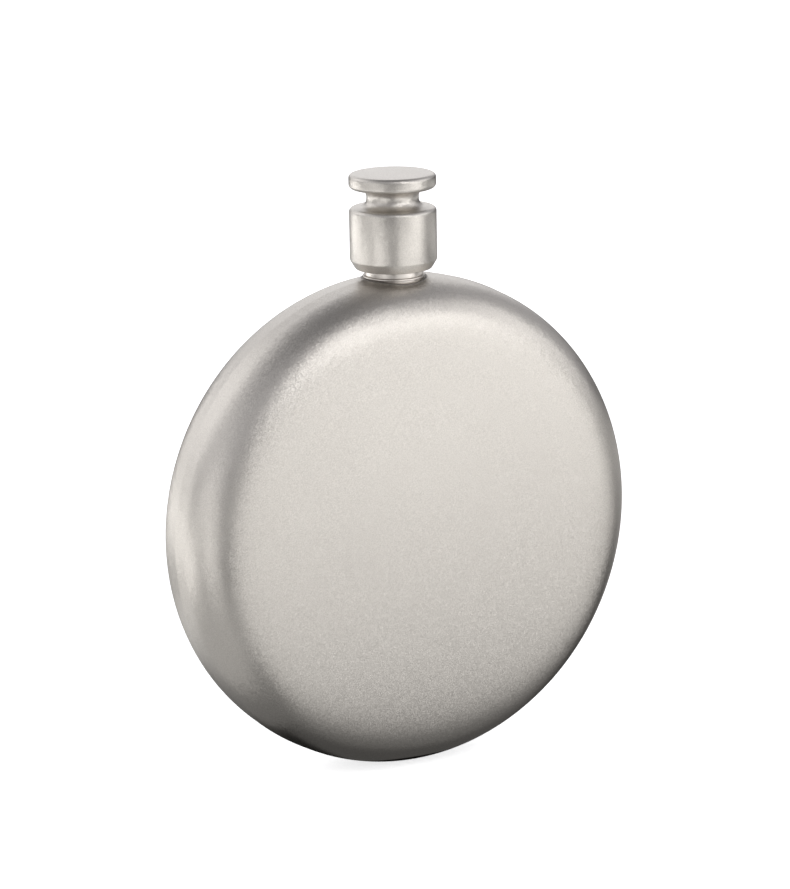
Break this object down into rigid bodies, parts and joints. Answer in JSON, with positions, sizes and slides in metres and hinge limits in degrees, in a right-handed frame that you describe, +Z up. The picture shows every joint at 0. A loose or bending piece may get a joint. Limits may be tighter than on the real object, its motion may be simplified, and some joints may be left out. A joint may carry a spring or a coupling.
{
  "type": "round pocket flask",
  "caption": "Flat round titanium pocket flask: welded blasted body with rounded edges, a short polished neck and a turned screw cap with a waisted grip and a silicone seal.",
  "frame": {"origin": "under the lowest point of the rim, on the neck's axis, with the flask standing on its rim as in the picture", "axes": "+Z up along the neck to the cap, -Y out of the front face, +Y out of the back face, +X to the right seen from the front"},
  "size_m": [0.092, 0.024, 0.1107],
  "materials": {
    "blasted_titanium": "bead-blasted titanium, fine even grain, satin",
    "polished_titanium": "turned and polished titanium",
    "cap_titanium": "turned titanium, bead-blasted",
    "seal_silicone": "food-grade silicone, satin"
  },
  "bodies": {
    "flask": {"front_shell": "blasted_titanium", "back_shell": "blasted_titanium", "rim_weld": "blasted_titanium", "neck": "polished_titanium", "neck_weld": "polished_titanium"},
    "seal": {"cap_seal": "seal_silicone"},
    "cap": {"cap": "cap_titanium"}
  },
  "joints": [
    {"name": "cap_rise", "type": "slide", "parent": "flask", "child": "seal", "axis": [0, 0, 1], "range_m": [0, 0.009]},
    {"name": "cap_turn", "type": "hinge", "parent": "seal", "child": "cap", "pos_m": [0, 0, 0.1], "axis": [0, 0, 1], "range_deg": [0, 2160]}
  ],
  "couplings": [
    {"joint": "cap_rise", "follows": "cap_turn", "m_per_rad": 0.00023873}
  ]
}
